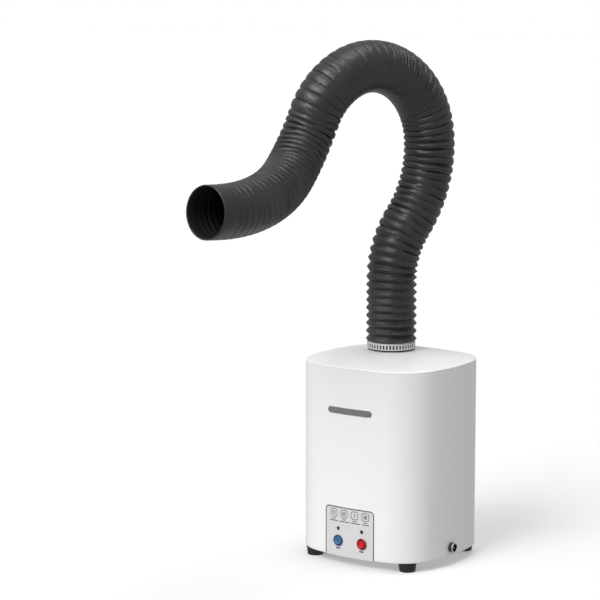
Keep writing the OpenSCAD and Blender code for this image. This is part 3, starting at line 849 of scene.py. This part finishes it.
def build_pad():
    """Fibre pre-filter: a soft slab whose top is not quite flat."""
    grow, low, high = PAD_IN, PAD_Z, PAD_Z + PAD_H
    edge = eased([(grow - 6, low), (grow, low), (grow, high), (grow - 6, high)], 3.0, False, 6)
    inner = [-18, -28, -40, -54, -66]
    profile = [(g, low) for g in reversed(inner)] + edge + [(g, high) for g in inner]
    verts, faces = plan_solid(profile)
    soft = []
    for v in verts:
        p = Vector(v)
        lift = noise.noise(p * 0.05) * 0.35 + noise.noise(p * 0.35) * 0.12
        p.z += lift if p.z > (low + high) / 2 else 0
        soft.append(tuple(p))
    pad = piece("fibre_pad", (soft, faces), "pad", "prefilter", ["prefilter_pad"], sharp=60)


# ---------------------------------------------------------------- hose

def along_section(length, bend, s):
    """The frame a distance s into a section, seen from its start."""
    if bend == 0:
        return Matrix.Translation((0, 0, s))
    turn = math.radians(bend) * s / length
    radius = length / math.radians(bend)
    arc = Matrix.Translation((radius * (1 - math.cos(turn)), 0, radius * math.sin(turn)))
    return arc @ Matrix.Rotation(turn, 4, "Y")


class Hose:
    """Centre line of the hose, with sides that don't twist."""

    def __init__(self, step=0.5):
        self.starts = [sum(r[0] for r in ROUTE[:i]) for i in range(len(ROUTE) + 1)]
        self.length = self.starts[-1]
        at, frames = Matrix.Translation((0, 0, DUCT_Z)), []
        for length, bend, roll in ROUTE:
            at = at @ Matrix.Rotation(math.radians(roll), 4, "Z")
            frames.append(at.copy())
            at = at @ along_section(length, bend, length)
        self.s = np.arange(-12, self.length + CUFF_LEN + 1, step)
        centre, tangent = [], []
        for s in self.s:
            i = max(0, sum(1 for start in self.starts[:-1] if start < s) - 1)
            length, bend, _ = ROUTE[i]
            inside = min(max(s - self.starts[i], 0), length)
            spot = frames[i] @ along_section(length, bend, inside)
            turned = spot.to_3x3()
            beyond = Vector((0, 0, s - self.starts[i] - inside))
            centre.append(spot.translation + turned @ beyond)
            tangent.append(turned @ Vector((0, 0, 1)))
        side = [Vector((1, 0, 0))]
        for a, b in zip(tangent[:-1], tangent[1:]):
            side.append(a.rotation_difference(b) @ side[-1])
        self.centre, self.tangent, self.side = map(np.array, (centre, tangent, side))

    def at(self, s):
        """Centre, tangent and two sides, a distance s along the hose."""
        def mix(values):
            return np.array([np.interp(s, self.s, values[:, k]) for k in range(3)])
        centre, tangent, side = mix(self.centre), mix(self.tangent), mix(self.side)
        tangent /= np.linalg.norm(tangent)
        side -= tangent * side.dot(tangent)
        side /= np.linalg.norm(side)
        return centre, tangent, side, np.cross(tangent, side)


def table(rows, s):
    """The values of a table's columns at s: a list, or a number where there is one column."""
    columns = list(zip(*rows))
    made = [float(np.interp(s, columns[0], column)) for column in columns[1:]]
    return made if len(made) > 1 else made[0]


def ease(t):
    t = min(1.0, max(0.0, t))
    return t * t * (3 - 2 * t)


def fade(s, *steps):
    """0, rising to 1 between the first two places and back to 0 between the last two."""
    return float(np.interp(s, steps, (0, 1, 1, 0)))


def rib_height(s):
    """1 on a crest, 0 in a valley, and apart from that the height of the thin end ridges.

    The crests are zigzag pleats low down and round scallops above them.
    """
    phase = (s - FIRST_CREST) / RIB_PITCH
    away = abs(phase - round(phase))
    zigzag = 0.88 * (1 - 2 * away) + 0.12 * math.cos(math.pi * away) ** 2
    scallop = math.cos(math.pi * away) ** table(SCALLOPS, s) if away < 0.5 else 0.0
    low = float(np.interp(s, PLEATS_END, (1, 0)))
    high = float(np.interp(s, RIDGES_START, (0, 1)))
    ridge = high * math.exp(-(away / RIDGE_WIDTH) ** 2)
    return low * zigzag + (1 - low - high) * scallop, ridge


def hose_ring(hose, s, steps, inner=0.0):
    """The hose's section a distance s along it, or its inner side where inner is its skin.

    The ribs' depth differs between the arch's outer side, faces and inner side. Noise makes it
    uneven: broadly, from groove to groove as creases, and finely as dents. Short pleats lie
    beside the smooth inside of the upper bend, and the ribs sway along the hose.
    """
    centre, tangent, side, other = hose.at(s)
    outer, face, within = table(RIBS, s)
    radius, (height, ridge) = table(RADIUS, s), rib_height(s)
    across = np.cross(tangent, FACING)
    across /= np.linalg.norm(across)
    groove = (s - FIRST_CREST) / RIB_PITCH
    half = 2 * groove - round(2 * groove)
    pleat = math.exp(-(half / 0.24) ** 2) * fade(s, 395, 425, 495, 520)
    creased, swayed = fade(s, 110, 150, 840, 950), fade(s, 60, 140, 900, 960)
    ring = []
    for k in range(steps):
        angle = 2 * math.pi * k / steps
        c, n = math.cos(angle), math.sin(angle)
        out = c * side + n * other
        spot = float(np.dot(out, across))
        far, near = ease((spot + 0.15) / 0.95), ease((-spot - 0.2) / 0.7)
        front = 1 - far - near
        depth = face * front + outer * far + within * near
        broad = noise.noise(Vector((s * 0.022, c * 1.1, n * 1.1)))
        crease = noise.noise(Vector((round(groove - 0.5) * 2.3, c * 1.9, n * 1.9)))
        fine = noise.noise(Vector((s * 0.15, c * 2.1, n * 2.1)))
        own = noise.noise(Vector((round(groove) * 1.7, c * 0.8, n * 0.8)))
        wander = noise.noise(Vector((s * 0.045, c * 1.4, n * 1.4)))
        depth *= ((1 + BROAD_SHARE * broad)
                  * (1 + CREASE_SHARE * crease * creased * (1 - 0.7 * spot * spot)))
        dent = DENT * max(0.0, fine - DENT_LIMIT) * creased * front
        shoulder = SHOULDER * pleat * fade(spot, 0.05, 0.35, 0.75, 1.0) * max(0.0, 0.75 + crease)
        crest = height + ridge * (1 + RIDGE_SHARE * own * (1 - spot * spot))
        ring.append(centre + (radius - depth * (1 - crest) - dent - shoulder - inner) * out
                    + tangent * SWAY * wander * swayed)
    return ring


def cuff_rings(hose, steps):
    """The mouth: a rolled lip, then its bore back to the ribs."""
    end = hose.length + CUFF_LEN
    profile = [(39.7, end - 9), (39.75, end - 1.3), (39.4, end - 0.4), (38.7, end),
               (38.1, end - 0.2), (37.6, end - 0.9), (37.5, end - 2), (37.5, hose.length),
               (37.9, hose.length - 4)]
    turns = [2 * math.pi * k / steps for k in range(steps)]
    rings = []
    for r, s in profile:
        centre, _, side, other = hose.at(s)
        rings.append([centre + r * (math.cos(a) * side + math.sin(a) * other) for a in turns])
    return rings


def build_hose():
    """One ribbed piece across each joint, cut where the sections are stiff: near their middles."""
    hose = Hose()
    step, gap = RIB_PITCH / STEPS_PER_RIB, 0.3
    middles = [0.5 * (a + b) for a, b in zip(hose.starts[:-1], hose.starts[1:])]
    # a cut lies on a rib's flank, where its shading meets the next piece's
    cuts = [FIRST_CREST + (round((m - FIRST_CREST) / RIB_PITCH) + 0.25) * RIB_PITCH
            for m in middles]
    bounds = [NECK_Z - DUCT_Z] + cuts + [hose.length]
    for i, (low, high) in enumerate(zip(bounds[:-1], bounds[1:])):
        is_last = i == len(bounds) - 2
        first = math.ceil((low - FIRST_CREST) / step - 0.5 + 1e-6)
        last = math.floor((high - FIRST_CREST) / step + 0.5 - 1e-6)
        grid = [FIRST_CREST + k * step for k in range(first, last + 1)]
        places = [low] + [s for s in grid if low + gap < s < high - gap] + [high]
        if is_last:
            places = [s for s in places if s < hose.length - 3]
            inside = [s for s in places if s < hose.length - 8]
        else:
            inside = [s for k, s in enumerate(places) if k % 3 == 0 and s < high - 1] + [high]
        rings = [hose_ring(hose, s, HOSE_STEPS) for s in places]
        if is_last:
            rings += cuff_rings(hose, HOSE_STEPS)
        rings += [hose_ring(hose, s, HOSE_STEPS, HOSE_SKIN) for s in reversed(inside)]
        body = "duct_1" if i == 0 else "duct_7" if is_last else None
        stands_for = "duct_mouth_cuff" if is_last else "duct_section_%d" % (i + 1)
        made = piece("hose_%d" % (i + 1), loft(rings, caps=False), "duct", body, [stands_for],
                     sharp=75)
        if not body:
            start, end = (hose.at(hose.starts[i] + d)[0] * MM for d in (-BLEND_REACH, BLEND_REACH))
            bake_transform(made)


# ---------------------------------------------------------------- assembly

place_camera()
light_studio()
build_stage()
MATERIALS = make_materials()
for node_name, node_object in NODES.items():
    node_object.data.materials.clear()
    node_object.data.materials.append(MATERIALS[SLOTS[node_name]])
build_housing()
build_cover()
build_feet()
build_clamp()
build_panel()
build_controls()
build_spring("mode_spring")
build_spring("power_spring")
build_inlet()
build_filter("upper", UPPER_Z)
build_filter("lower", LOWER_Z)
build_pad()
build_hose()
